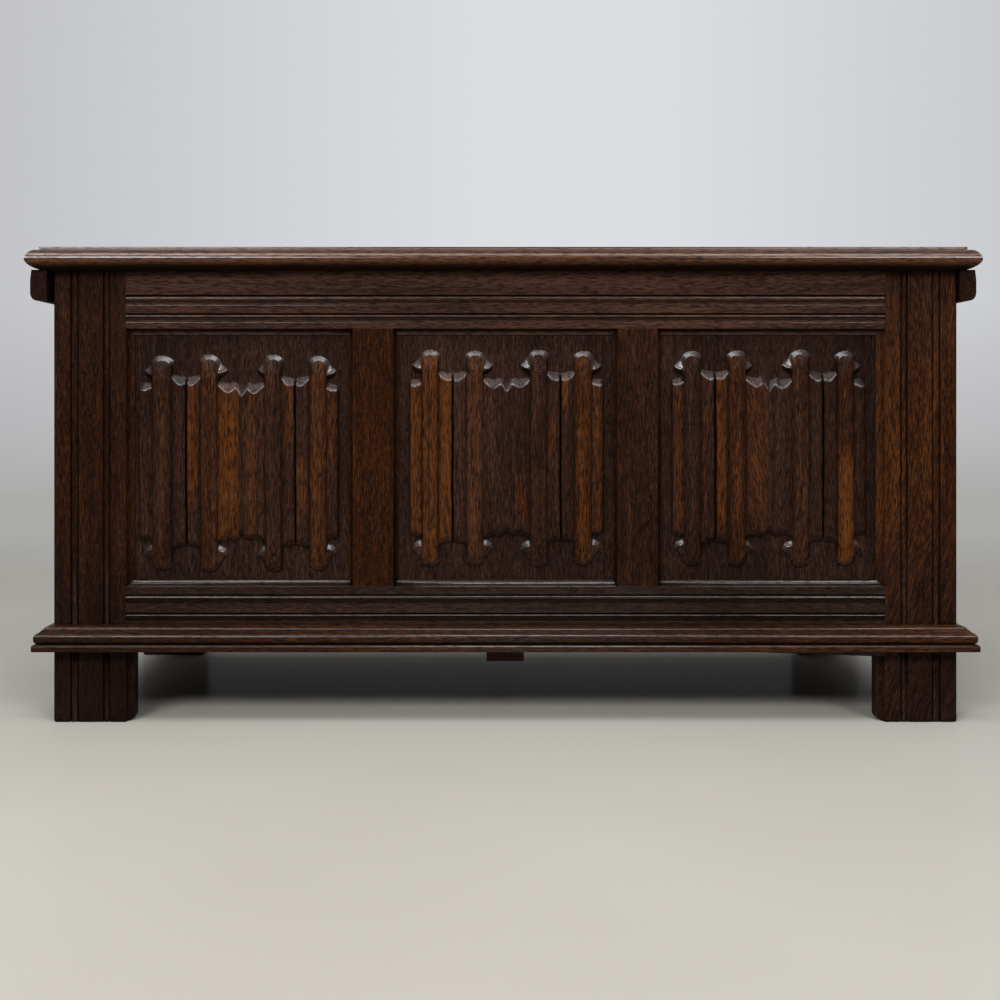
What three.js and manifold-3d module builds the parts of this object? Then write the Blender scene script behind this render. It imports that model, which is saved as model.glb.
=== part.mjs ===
// A coffer chest in dark oak: four panelled frames on leg posts, linenfold panels in the front and
// the ends, a mitred base moulding, a boarded floor and a moulded lid on two butt hinges.
// Millimetres, +Z up, the front faces -Y, and the origin is on the floor under the middle.
import * as THREE from 'three';
import { mergeVertices } from 'three/addons/utils/BufferGeometryUtils.js';
import { ConvexGeometry } from 'three/addons/geometries/ConvexGeometry.js';
import Module from 'manifold-3d';

const wasm = await Module();
wasm.setup();

// Carcass
const carcassWidth = 1200;
const carcassDepth = 490;
const carcassHeight = 599.7;
const legHeight = 97;
const bottomRailHeight = 91;
const topRailHeight = 84.7;
const frameThickness = 28;
const endThickness = 25;

// Clearances
const jointGap = 0.3;
const seatGap = 0.3;
const overrun = 2;

// Posts and muntins: the flat face, then the moulding on the edge that frames the panel
const postFlat = 95.5;
const endPostFlat = 65;
const postMoulding = 9.5;
const muntinFlat = 53.5;
const muntinMoulding = 6;
const railMoulding = 8;
const quirkDepth = 2;
const mouldingDepth = 9.6;
const quirkShare = 0.94;
const arris = 1.5;
const footInnerRound = 9;
const footOuterRound = 4;

// Scratched beads on the posts and rails
const grooveWidth = 2.6;
const grooveDepth = 3;
const beadCrown = 1;
const outerBeadPlace = 21.2;
const outerBeadWidth = 7;
const innerBeadWidth = 5.4;
const endBeadMargin = 30.8;
const topRailBeadPlace = 31.7;
const bottomRailBeadPlace = 18.2;
const railBeadWidth = 4.8;
const railRoundWidth = 4.6;
const lowerBeadDrop = 24.5;
const lowerBeadWidth = 3.2;
const railSag = 10;

// Tenons and the grooves that hold the panels
const tenonThickness = 9;
const tenonLength = 50;
const tenonMargin = 20;
const muntinTenonLength = 25;
const muntinTenonMargin = 6.6;
const panelSetback = 11;
const panelThickness = 6;
const panelGrooveDepth = 9;
const panelTongue = 8;

// Linenfold carving on a panel
const foldSideMargin = 14.2;
const foldEndMargin = 21.2;
const foldDepth = 10;
const foldRoot = 1;
const rollBevel = 6;
const stripBevel = 17;
const rollEndRound = 13;
const cuspReach = 14.5;

// Base moulding
const baseHeight = 32.7;
const baseProjection = 23;

// Floor
const boardThickness = 15;
const ledgerWidth = 20;
const ledgerHeight = 18;
const bearerWidth = 50;
const bearerLap = 18;
const bearerSetback = 10;
const boardGap = 1;

// Lid
const lidOverhang = 27.5;
const lidThickness = 30;
const lidShift = 3;
const noseHeight = 26;
const noseReach = 15;
const cleatThickness = 21.5;
const cleatHeight = 41;
const cleatPlay = 3.5;
const cleatSetback = 17;
const cleatBackSetback = 12;
const cleatRound = 10;
const cleatBelly = 1.6;

// Hinges
const hingeEndMargin = 220;
const leafLength = 76;
const leafWidth = 24;
const leafThickness = 2;
const knuckleRadius = 4.5;
const knuckleGap = 0.4;
const knuckleCount = 5;
const pinRadius = 2.4;
const pinHeadRadius = 3.8;
const pinHeadLength = 2;

// Places that follow from the sizes
const pinOffset = knuckleRadius + knuckleGap;
const backReach = pinOffset + knuckleRadius;
const frontY = lidOverhang - (lidOverhang + carcassDepth + backReach) / 2;
const backY = frontY + carcassDepth;
const middleY = (frontY + backY) / 2;
const carcassX = lidShift;
const endLength = carcassDepth - frameThickness * 2;
const railBottom = legHeight;
const sightBottom = legHeight + bottomRailHeight;
const sightTop = carcassHeight - topRailHeight;
const lidBottom = carcassHeight + seatGap;
const pinZ = carcassHeight + seatGap / 2;
const pinY = backY + pinOffset;

// Smoothness of the round stretches
const beadSteps = 6;
const mouldingSteps = 5;
const roundSteps = 4;
const archSteps = 8;
const hingeSides = 16;

const oak = (color) => new THREE.MeshStandardMaterial({ color, roughness: 0.45, metalness: 0 });
const darkOak = 0x3a2418;
const midOak = 0x4a2f1d;
const plainOak = 0x6b4c31;
const iron = () => new THREE.MeshStandardMaterial({ color: 0x2b2724, roughness: 0.5, metalness: 0.9 });

// Shapes to solids
function solid(geometry) {
  const bare = geometry.clone();
  bare.deleteAttribute('normal');
  bare.deleteAttribute('uv');
  const merged = mergeVertices(bare);
  return new wasm.Manifold(new wasm.Mesh({
    numProp: 3,
    vertProperties: Float32Array.from(merged.attributes.position.array),
    triVerts: Uint32Array.from(merged.index.array),
  }));
}

function join(first, ...others) {
  return others.reduce((sum, other) => sum.add(other), first);
}

function cut(first, ...others) {
  return others.reduce((rest, other) => rest.subtract(other), first);
}

// A straight bar with the given section, along x (section y, z), y (section x, z) or z (section x, y)
const barTurns = {
  x: new THREE.Matrix4().makeBasis(
    new THREE.Vector3(0, 1, 0), new THREE.Vector3(0, 0, 1), new THREE.Vector3(1, 0, 0)),
  y: new THREE.Matrix4().makeBasis(
    new THREE.Vector3(1, 0, 0), new THREE.Vector3(0, 0, 1), new THREE.Vector3(0, -1, 0)),
  z: new THREE.Matrix4(),
};

function bar(section, axis, from, to) {
  const outline = section.filter(([a, b], i) => {
    const [nextA, nextB] = section[(i + 1) % section.length];
    return a !== nextA || b !== nextB;
  });
  const shape = new THREE.Shape(outline.map(([a, b]) => new THREE.Vector2(a, b)));
  const geometry = new THREE.ExtrudeGeometry(shape, { depth: to - from, bevelEnabled: false });
  geometry.translate(0, 0, axis === 'y' ? -to : from);
  return solid(geometry.applyMatrix4(barTurns[axis]));
}

function block([x0, x1], [y0, y1], [z0, z1]) {
  const geometry = new THREE.BoxGeometry(x1 - x0, y1 - y0, z1 - z0);
  return solid(geometry.translate((x0 + x1) / 2, (y0 + y1) / 2, (z0 + z1) / 2));
}

// A closed skin through rings of equal count; flat gives the two coordinates that its caps lie in
function loft(rings, flat) {
  const count = rings[0].length;
  const faces = [];
  for (let r = 0; r + 1 < rings.length; r += 1) {
    for (let i = 0; i < count; i += 1) {
      const next = (i + 1) % count;
      faces.push([r * count + i, r * count + next, (r + 1) * count + next]);
      faces.push([r * count + i, (r + 1) * count + next, (r + 1) * count + i]);
    }
  }
  const flatten = (ring) => ring.map((p) => new THREE.Vector2(...flat(p)));
  const clockwise = THREE.ShapeUtils.isClockWise(flatten(rings[0]));
  const last = (rings.length - 1) * count;
  const capOf = (ring) => THREE.ShapeUtils.triangulateShape(flatten(ring), [])
    .map(([a, b, c]) => (clockwise ? [a, c, b] : [a, b, c]));
  capOf(rings[0]).forEach(([a, b, c]) => faces.push([a, c, b]));
  capOf(rings[rings.length - 1]).forEach(([a, b, c]) => faces.push([last + a, last + b, last + c]));
  const points = rings.flat();
  const [cornerA, cornerB, cornerC] = [0, 1, 2].map(() => new THREE.Vector3());
  const volume = faces.reduce((sum, [a, b, c]) => sum + cornerA.set(...points[a])
    .dot(cornerB.set(...points[b]).cross(cornerC.set(...points[c]))), 0);
  const geometry = new THREE.BufferGeometry();
  geometry.setAttribute('position', new THREE.Float32BufferAttribute(points.flat(), 3));
  geometry.setIndex(faces.flatMap(([a, b, c]) => (volume > 0 ? [a, b, c] : [a, c, b])));
  return solid(geometry);
}

function node(name, body, color, finish = oak) {
  const raw = body.getMesh();
  const geometry = new THREE.BufferGeometry();
  geometry.setAttribute('position', new THREE.BufferAttribute(Float32Array.from(raw.vertProperties), 3));
  geometry.setIndex(new THREE.BufferAttribute(Uint32Array.from(raw.triVerts), 1));
  const mesh = new THREE.Mesh(geometry, finish(color));
  mesh.name = name;
  return mesh;
}

// Sections and outlines
// The moulding on a member's panel edge, from its flat face (share 1) to the sight line (share 0)
function edgeMoulding() {
  const quarter = Array.from({ length: mouldingSteps + 1 }, (_, i) => (Math.PI / 2) * (i / mouldingSteps));
  const hollow = quarter.map((turn) => [
    quirkShare * Math.cos(turn),
    quirkDepth + (mouldingDepth - quirkDepth) * Math.sin(turn),
  ]);
  return [[1, 0], [1, quirkDepth], ...hollow];
}

// A round bead between two V grooves, from the start of its first groove, as [place, depth] points
function bead(start, width, groove = grooveWidth) {
  const crown = Array.from({ length: beadSteps + 1 }, (_, i) => {
    const share = i / beadSteps;
    return [start + groove + width * share, beadCrown * (1 - Math.sin(Math.PI * share))];
  });
  const end = start + groove * 2 + width;
  return [[start, 0], [start + groove / 2, grooveDepth], ...crown, [end - groove / 2, grooveDepth], [end, 0]];
}

// A small round that falls away from the face, as [place, depth] points
function fallingRound(start, width) {
  const quarter = Array.from({ length: roundSteps + 1 }, (_, i) => (Math.PI / 2) * (i / roundSteps));
  return quarter.map((turn) => [start + width * Math.sin(turn), beadCrown * (1 - Math.sin(turn))]).slice(0, -1);
}

// The void in front of a panel: a picture frame of moulding, mitred at its corners
function openingVoid({ left, right, bottom, top, leftEdge, rightEdge, railEdge }) {
  const rings = [[1, -overrun], ...edgeMoulding(), [0, panelSetback]].map(([share, depth]) => {
    const [x0, x1] = [left - leftEdge * share, right + rightEdge * share];
    const [z0, z1] = [bottom - railEdge * share, top + railEdge * share];
    return [[x0, depth, z0], [x1, depth, z0], [x1, depth, z1], [x0, depth, z1]];
  });
  return loft(rings, ([x, , z]) => [x, z]);
}

function grooveFor({ left, right, bottom, top }) {
  return block(
    [left - panelGrooveDepth, right + panelGrooveDepth],
    [panelSetback - jointGap, panelSetback + panelThickness + jointGap],
    [bottom - panelGrooveDepth, top + panelGrooveDepth],
  );
}

// A tenon's box, and the mortise that takes it with the joint gap all round
function tenonBox(xs, zs, clearance) {
  return block(
    [xs[0] - clearance, xs[1] + clearance],
    [panelSetback - clearance, panelSetback + tenonThickness + clearance],
    [zs[0] - clearance, zs[1] + clearance],
  );
}

// Linenfold: each fold is a bar with its own section, cut off by a bevelled end.
// Widths are shares of the fold's half width, heights of its depth, ends of its half height.
const foldShares = {
  roll: { crown: 1, edge: 0.3 },
  innerRoll: [0.24, 0.415],
  innerStrip: [0.395, 0.55],
  outerStrip: [0.566, 0.725],
  outerRoll: [0.705, 0.88],
  border: [0.86, 1],
  strip: { edge: 0.5, crown: 0.78 },
  borderHeight: { edge: 0.42, crown: 0.62 },
};
const middleSectionShares = [
  [0.26, 0.5], [0.215, 0.68], [0.165, 0.79], [0.115, 0.76], [0.07, 0.6], [0.052, 0.55], [0.04, 0.8],
  [0.015, 0.88], [0, 0.6],
];
const middleEndShares = [[0.26, 0.765], [0.2, 0.752], [0.125, 0.718], [0.07, 0.738], [0, 0.708]];
const stripEndShares = [0.81, 0.794, 0.79];
const borderEndShares = [0.735, 0.745, 0.72];
const cuspShares = {
  floor: [[0, 0.945], [1, 0.852], [0.66, 0.82], [0, 0.775]],
  top: [[-0.15, 0.9], [0.28, 0.846], [0.2, 0.83], [-0.15, 0.795]],
  height: 0.75,
};

function mirrored(halfPoints) {
  const flipped = halfPoints.map(([u, v]) => [-u, v]).reverse();
  return [...halfPoints, ...flipped].filter(([u], i, all) => i === 0 || u !== all[i - 1][0]);
}

function crownSection(from, to, { edge, crown }, round) {
  const arch = Array.from({ length: archSteps + 1 }, (_, i) => {
    const side = (i / archSteps) * 2 - 1;
    const spread = round ? Math.sin((Math.PI / 2) * side) : side;
    const lift = round ? Math.cos((Math.PI / 2) * side) : 1 - side * side;
    return [from + (to - from) * ((spread + 1) / 2), foldDepth * (edge + (crown - edge) * lift)];
  });
  return [[from, -foldRoot], ...arch, [to, -foldRoot]];
}

function bevelledEnds(endLine, bevel) {
  const ringAt = (height) => {
    const fall = bevel * (height / foldDepth);
    const upper = endLine.map(([u, v]) => [u, -height, v - fall]);
    const lower = endLine.map(([u, v]) => [u, -height, fall - v]).reverse();
    return [...upper, ...lower];
  };
  return loft([ringAt(-foldRoot * 2), ringAt(foldDepth + overrun)], ([u, , v]) => [u, v]);
}

function fold(section, endLine, bevel, halfHeight) {
  const face = section.map(([u, h]) => [u, -h]);
  return bar(face, 'z', -halfHeight, halfHeight).intersect(bevelledEnds(endLine, bevel));
}

// The small barb beside a roll's end
function cusp(edge, side, end, halfHeight) {
  const place = (height) => ([reach, share]) => new THREE.Vector3(
    edge + side * cuspReach * reach, -height, end * halfHeight * share);
  const points = [
    ...cuspShares.floor.map(place(-foldRoot)),
    ...cuspShares.top.map(place(foldDepth * cuspShares.height)),
  ];
  return solid(new ConvexGeometry(points));
}

function rollOf([fromShare, toShare], side, cuspSide, halfWidth, halfHeight) {
  const [from, to] = [fromShare, toShare].map((share) => share * halfWidth * side).sort((a, b) => a - b);
  const endLine = Array.from({ length: archSteps + 1 }, (_, i) => {
    const turn = Math.PI * (i / archSteps) - Math.PI / 2;
    return [
      (from + to) / 2 + ((to - from) / 2 + overrun) * Math.sin(turn),
      halfHeight - rollEndRound * (1 - Math.cos(turn)),
    ];
  });
  const roll = fold(crownSection(from, to, foldShares.roll, true), endLine, rollBevel, halfHeight);
  const edge = cuspSide > 0 ? to : from;
  return join(roll, cusp(edge, cuspSide, 1, halfHeight), cusp(edge, cuspSide, -1, halfHeight));
}

function stripOf([fromShare, toShare], side, height, endShares, halfWidth, halfHeight) {
  const [from, to] = [fromShare, toShare].map((share) => share * halfWidth * side).sort((a, b) => a - b);
  const ends = side > 0 ? endShares : [...endShares].reverse();
  const endLine = ends.map((share, i) => [
    from + (to - from) * (i / (ends.length - 1)),
    halfHeight * share,
  ]);
  return fold(crownSection(from, to, height, false), endLine, stripBevel, halfHeight);
}

function linenfold(halfWidth, halfHeight) {
  const middle = fold(
    [
      [-halfWidth * middleSectionShares[0][0], -foldRoot],
      ...mirrored(middleSectionShares).reverse().map(([u, h]) => [u * halfWidth, h * foldDepth]),
      [halfWidth * middleSectionShares[0][0], -foldRoot],
    ],
    mirrored(middleEndShares).reverse().map(([u, v]) => [u * halfWidth, v * halfHeight]),
    stripBevel,
    halfHeight,
  );
  const folds = [-1, 1].flatMap((side) => [
    rollOf(foldShares.innerRoll, side, -side, halfWidth, halfHeight),
    stripOf(foldShares.innerStrip, side, foldShares.strip, stripEndShares, halfWidth, halfHeight),
    stripOf(foldShares.outerStrip, side, foldShares.strip, [...stripEndShares].reverse(), halfWidth, halfHeight),
    rollOf(foldShares.outerRoll, side, side, halfWidth, halfHeight),
    stripOf(foldShares.border, side, foldShares.borderHeight, borderEndShares, halfWidth, halfHeight),
  ]);
  return join(middle, ...folds);
}

function panel({ left, right, bottom, top }, carved) {
  const plate = block(
    [left - panelTongue, right + panelTongue],
    [panelSetback, panelSetback + panelThickness],
    [bottom - panelTongue, top + panelTongue],
  );
  if (!carved) return plate;
  const cloth = linenfold((right - left) / 2 - foldSideMargin, (top - bottom) / 2 - foldEndMargin);
  return plate.add(cloth.translate((left + right) / 2, panelSetback, (bottom + top) / 2));
}

// A panelled frame: its face lies in y = 0 and faces -Y, x is centred, z starts at the floor.
// Names run from -X to +X; the plain kind has square edges and no beads. Posts with legs reach the floor.
function panelledFrame({
  width, thickness, flat, moulding, muntin, railEdge, beads, legs, sag, names, extraCuts = {},
}) {
  const half = width / 2;
  const shoulder = half - flat;
  const sight = shoulder - moulding;
  const bays = names.panels.length;
  const muntinWidth = muntin.flat + muntin.moulding * 2;
  const bayWidth = (sight * 2 - muntinWidth * (bays - 1)) / bays;
  const bay = names.panels.map((_, i) => {
    const left = -sight + (bayWidth + muntinWidth) * i;
    return {
      left,
      right: left + bayWidth,
      bottom: sightBottom,
      top: sightTop,
      leftEdge: i === 0 ? moulding : muntin.moulding,
      rightEdge: i === bays - 1 ? moulding : muntin.moulding,
      railEdge,
    };
  });
  const muntinAt = bay.slice(1).map(({ left }) => left - muntinWidth / 2);
  const grooves = bay.map(grooveFor);
  const voids = railEdge > 0 ? bay.map(openingVoid) : [];
  const depth = [-overrun, thickness + overrun];
  const railTenonZ = {
    bottom: [railBottom + tenonMargin, sightBottom - railEdge - tenonMargin],
    top: [sightTop + railEdge + tenonMargin, carcassHeight - tenonMargin],
  };
  const tenonsOf = (key, clearance, length) => [-1, 1].map((side) => {
    const ends = [side * (shoulder - overrun), side * (shoulder + length)].sort((a, b) => a - b);
    return tenonBox(ends, railTenonZ[key], clearance);
  });

  const post = (side) => {
    const beadRuns = beads
      ? [...bead(outerBeadPlace, outerBeadWidth), ...bead(flat - endBeadMargin, innerBeadWidth)]
      : [];
    const edge = moulding > 0
      ? edgeMoulding().map(([share, at]) => [flat + moulding * (1 - share), at])
      : [[flat, 0]];
    const section = [
      [0, arris], [arris, 0], ...beadRuns, ...edge, [flat + moulding, thickness], [0, thickness],
    ].map(([place, at]) => [side * (half - place), at]);
    const inner = flat + moulding;
    const quarter = Array.from({ length: roundSteps + 1 }, (_, i) => (Math.PI / 2) * (i / roundSteps));
    const foot = [
      ...quarter.map((turn) => [
        footOuterRound * (1 - Math.cos(turn)), footOuterRound * (1 - Math.sin(turn)),
      ]),
      ...quarter.map((turn) => [
        inner - footInnerRound * (1 - Math.sin(turn)), footInnerRound * (1 - Math.cos(turn)),
      ]),
    ];
    const mitre = railEdge > 0 ? jointGap * Math.SQRT2 : 0;
    const legTop = railBottom - (sag && side > 0 ? railSag + jointGap : 0);
    const lowerEnd = legs ? [...foot, [inner, legTop], [flat, legTop]] : [[0, railBottom], [flat, railBottom]];
    const outline = [
      ...lowerEnd,
      [flat, sightBottom - railEdge + mitre], [inner, sightBottom + mitre],
      [inner, sightTop - mitre], [flat, sightTop + railEdge - mitre],
      [flat, carcassHeight], [0, carcassHeight],
    ].map(([place, z]) => [side * (half - place), z]);
    return cut(
      bar(section, 'z', 0, carcassHeight).intersect(bar(outline, 'y', ...depth)),
      ...grooves,
      ...tenonsOf('bottom', jointGap, tenonLength),
      ...tenonsOf('top', jointGap, tenonLength),
    );
  };

  const rail = (key) => {
    const up = key === 'bottom' ? 1 : -1;
    const [base, sightZ] = key === 'bottom' ? [railBottom, sightBottom] : [carcassHeight, sightTop];
    const sagging = sag && key === 'bottom' ? railSag : 0;
    const notches = muntinAt.flatMap((x) => [
      [x - muntinWidth / 2, sightZ], [x - muntin.flat / 2, sightZ - up * railEdge],
      [x + muntin.flat / 2, sightZ - up * railEdge], [x + muntinWidth / 2, sightZ],
    ]);
    const outline = [
      [-shoulder, base], [-shoulder, sightZ - up * railEdge], [-sight, sightZ], ...notches,
      [sight, sightZ], [shoulder, sightZ - up * railEdge], [shoulder, base - sagging],
      [bay[bays - 1].left, base],
    ];
    const place = key === 'bottom' ? bottomRailBeadPlace : topRailBeadPlace;
    const start = key === 'bottom' ? sightZ - place : base - place;
    const runs = beads
      ? [
        ...bead(0, railBeadWidth),
        ...fallingRound(railBeadWidth + grooveWidth * 2, railRoundWidth),
        ...bead(lowerBeadDrop, lowerBeadWidth),
        ...fallingRound(lowerBeadDrop + lowerBeadWidth + grooveWidth * 2, railRoundWidth),
      ].map(([drop, at]) => [at, start - drop])
      : [];
    const low = Math.min(base, sightZ) - sagging;
    const high = Math.max(base, sightZ);
    const section = [[0, high], ...runs, [0, low], [thickness, low], [thickness, high]];
    const mortises = muntinAt.map((x) => tenonBox(
      [x - muntinWidth / 2 + panelGrooveDepth + muntinTenonMargin / 2,
        x + muntinWidth / 2 - panelGrooveDepth - muntinTenonMargin / 2],
      [sightZ - up * railEdge, sightZ - up * (railEdge + muntinTenonLength)].sort((a, b) => a - b),
      jointGap,
    ));
    const body = bar(section, 'x', -shoulder, shoulder).intersect(bar(outline, 'y', ...depth));
    return join(cut(body, ...voids, ...grooves, ...mortises), ...tenonsOf(key, 0, tenonLength - seatGap));
  };

  const muntinPiece = (x) => {
    const gap = railEdge > 0 ? jointGap * Math.SQRT2 : 0;
    const outline = [
      [x - muntin.flat / 2, sightBottom - railEdge], [x + muntin.flat / 2, sightBottom - railEdge],
      [x + muntin.flat / 2, sightBottom - railEdge + gap], [x + muntinWidth / 2, sightBottom + gap],
      [x + muntinWidth / 2, sightTop - gap], [x + muntin.flat / 2, sightTop + railEdge - gap],
      [x + muntin.flat / 2, sightTop + railEdge], [x - muntin.flat / 2, sightTop + railEdge],
      [x - muntin.flat / 2, sightTop + railEdge - gap], [x - muntinWidth / 2, sightTop - gap],
      [x - muntinWidth / 2, sightBottom + gap], [x - muntin.flat / 2, sightBottom - railEdge + gap],
    ];
    const tenonX = [
      x - muntinWidth / 2 + panelGrooveDepth + muntinTenonMargin / 2,
      x + muntinWidth / 2 - panelGrooveDepth - muntinTenonMargin / 2,
    ];
    const tenon = tenonBox(tenonX, [
      sightBottom - railEdge - muntinTenonLength + seatGap, sightTop + railEdge + muntinTenonLength - seatGap,
    ], 0);
    return cut(bar(outline, 'y', 0, thickness), ...voids, ...grooves).add(tenon);
  };

  const extra = (name, body) => cut(body, ...(extraCuts[name] ?? []));
  const pieces = [
    node(names.posts[0], post(-1), darkOak),
    node(names.posts[1], post(1), midOak),
    node(names.topRail, extra('topRail', rail('top')), darkOak),
    node(names.bottomRail, rail('bottom'), darkOak),
    ...muntinAt.map((x, i) => node(names.muntins[i], muntinPiece(x), darkOak)),
    ...bay.map((opening, i) => node(names.panels[i], panel(opening, beads), midOak)),
  ];
  return new THREE.Group().add(...pieces);
}

// The four frames. The legs are the front and back posts; the end posts stop at the lower rail.
function frontFrame() {
  const frame = panelledFrame({
    width: carcassWidth,
    thickness: frameThickness,
    flat: postFlat,
    moulding: postMoulding,
    muntin: { flat: muntinFlat, moulding: muntinMoulding },
    railEdge: railMoulding,
    beads: true,
    legs: true,
    sag: true,
    names: {
      posts: ['front_stile_left', 'front_stile_right'],
      topRail: 'front_top_rail',
      bottomRail: 'front_bottom_rail',
      muntins: ['front_muntin_left', 'front_muntin_right'],
      panels: ['front_panel_left', 'front_panel_centre', 'front_panel_right'],
    },
  });
  frame.position.set(carcassX, frontY, 0);
  return frame;
}

function endFrame(side) {
  const hand = side > 0 ? 'right' : 'left';
  const posts = [`side_stile_front_${hand}`, `side_stile_back_${hand}`];
  const frame = panelledFrame({
    width: endLength - jointGap * 2,
    thickness: endThickness,
    flat: endPostFlat,
    moulding: postMoulding,
    muntin: { flat: muntinFlat, moulding: muntinMoulding },
    railEdge: railMoulding,
    beads: true,
    legs: false,
    sag: false,
    names: {
      posts: side > 0 ? posts : posts.reverse(),
      topRail: `side_top_rail_${hand}`,
      bottomRail: `side_bottom_rail_${hand}`,
      muntins: [],
      panels: [`side_panel_${hand}`],
    },
  });
  frame.rotation.z = side * Math.PI / 2;
  frame.position.set(carcassX + side * carcassWidth / 2, middleY, 0);
  return frame;
}

const hingePlaces = [-1, 1].map((side) => side * (carcassWidth / 2 - hingeEndMargin));

function backFrame() {
  const recesses = hingePlaces.map((x) => block(
    [x - leafLength / 2 - jointGap, x + leafLength / 2 + jointGap],
    [-overrun, leafWidth + jointGap],
    [carcassHeight - leafThickness - jointGap, carcassHeight + overrun],
  ));
  const frame = panelledFrame({
    width: carcassWidth,
    thickness: frameThickness,
    flat: postFlat + postMoulding,
    moulding: 0,
    muntin: { flat: muntinFlat + muntinMoulding * 2, moulding: 0 },
    railEdge: 0,
    beads: false,
    legs: true,
    sag: false,
    names: {
      posts: ['back_stile_right', 'back_stile_left'],
      topRail: 'back_top_rail',
      bottomRail: 'back_bottom_rail',
      muntins: ['back_muntin_right', 'back_muntin_left'],
      panels: ['back_panel_right', 'back_panel_centre', 'back_panel_left'],
    },
    extraCuts: { topRail: recesses },
  });
  frame.rotation.z = Math.PI;
  frame.position.set(carcassX, backY, 0);
  return frame;
}

// The base moulding: one run round three sides, mitred at the two front corners
const baseShares = [
  [0.974, 0], [1, 0.04], [1, 0.2], [0.965, 0.25], [0.9, 0.28], [0.74, 0.29], [0.74, 0.315], [0.83, 0.335],
  [0.885, 0.4], [0.905, 0.49], [0.9, 0.57], [0.87, 0.64], [0.81, 0.69], [0.71, 0.725], [0.6, 0.775],
  [0.52, 0.835], [0.43, 0.845], [0.43, 0.915], [0.22, 0.965], [0.04, 1],
];

function baseMoulding() {
  const half = carcassWidth / 2;
  const rings = baseShares.map(([reachShare, heightShare]) => {
    const reach = baseProjection * reachShare;
    const z = legHeight + baseHeight * heightShare;
    return [
      [carcassX - half - reach, frontY - reach, z], [carcassX + half + reach, frontY - reach, z],
      [carcassX + half + reach, backY, z], [carcassX - half - reach, backY, z],
    ];
  });
  const hollow = block([carcassX - half, carcassX + half], [frontY, backY + overrun], [0, carcassHeight]);
  const run = cut(loft(rings, ([x, y]) => [x, y]), hollow);
  const far = baseProjection * 2;
  const zs = [legHeight - overrun, legHeight + baseHeight + overrun];
  const front = bar([
    [carcassX - half - far, frontY - far], [carcassX + half + far, frontY - far],
    [carcassX + half, frontY], [carcassX - half, frontY],
  ], 'z', ...zs);
  const end = (side) => bar([
    [carcassX + side * half, frontY + jointGap * Math.SQRT2],
    [carcassX + side * (half + far), frontY - far + jointGap * Math.SQRT2],
    [carcassX + side * (half + far), backY + overrun], [carcassX + side * half, backY + overrun],
  ], 'z', ...zs);
  const group = new THREE.Group();
  group.add(
    node('base_moulding_front', run.intersect(front), darkOak),
    node('base_moulding_left', run.intersect(end(-1)), darkOak),
    node('base_moulding_right', run.intersect(end(1)), darkOak),
  );
  return group;
}

// The floor: three boards on a ledger at each end and a notched bearer across the middle
function floor() {
  const group = new THREE.Group();
  const innerX = carcassWidth / 2 - endThickness - jointGap;
  const innerY = [frontY + frameThickness + jointGap, backY - frameThickness - jointGap];
  const boardBottom = legHeight + ledgerHeight + seatGap;
  const names = ['bottom_board_front', 'bottom_board_middle', 'bottom_board_back'];
  const pitch = (innerY[1] - innerY[0] + boardGap) / names.length;
  names.forEach((name, i) => {
    const y = innerY[0] + pitch * i;
    const board = block(
      [carcassX - innerX, carcassX + innerX],
      [y, y + pitch - boardGap],
      [boardBottom, boardBottom + boardThickness],
    );
    group.add(node(name, board, plainOak));
  });
  [-1, 1].forEach((side) => {
    const xs = [carcassX + side * innerX, carcassX + side * (innerX - ledgerWidth)].sort((a, b) => a - b);
    const ledger = block(xs, innerY, [legHeight, legHeight + ledgerHeight]);
    group.add(node(side > 0 ? 'bottom_ledger_right' : 'bottom_ledger_left', ledger, plainOak));
  });
  const lapTop = legHeight - seatGap;
  const bearer = bar([
    [frontY + bearerSetback, legHeight - bearerLap], [backY - bearerSetback, legHeight - bearerLap],
    [backY - bearerSetback, lapTop], [innerY[1], lapTop], [innerY[1], legHeight + ledgerHeight],
    [innerY[0], legHeight + ledgerHeight], [innerY[0], lapTop], [frontY + bearerSetback, lapTop],
  ], 'x', carcassX - bearerWidth / 2, carcassX + bearerWidth / 2);
  group.add(node('bottom_bearer', bearer, plainOak));
  return group;
}

// The lid: three edge-joined boards with a moulded nose on the front and the ends.
// The nose runs from its lower edge round the tip to a crisp ridge, then over a flat slope to the top.
const noseShares = [
  [0.99, 0], [0.72, 0.06], [0.46, 0.135], [0.27, 0.215], [0.13, 0.3], [0.04, 0.39], [0, 0.47], [0.015, 0.56],
  [0.06, 0.65], [0.13, 0.73], [0.22, 0.8], [0.38, 0.9], [0.5, 0.955], [0.64, 0.985], [0.82, 1], [1, 1],
];

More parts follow.
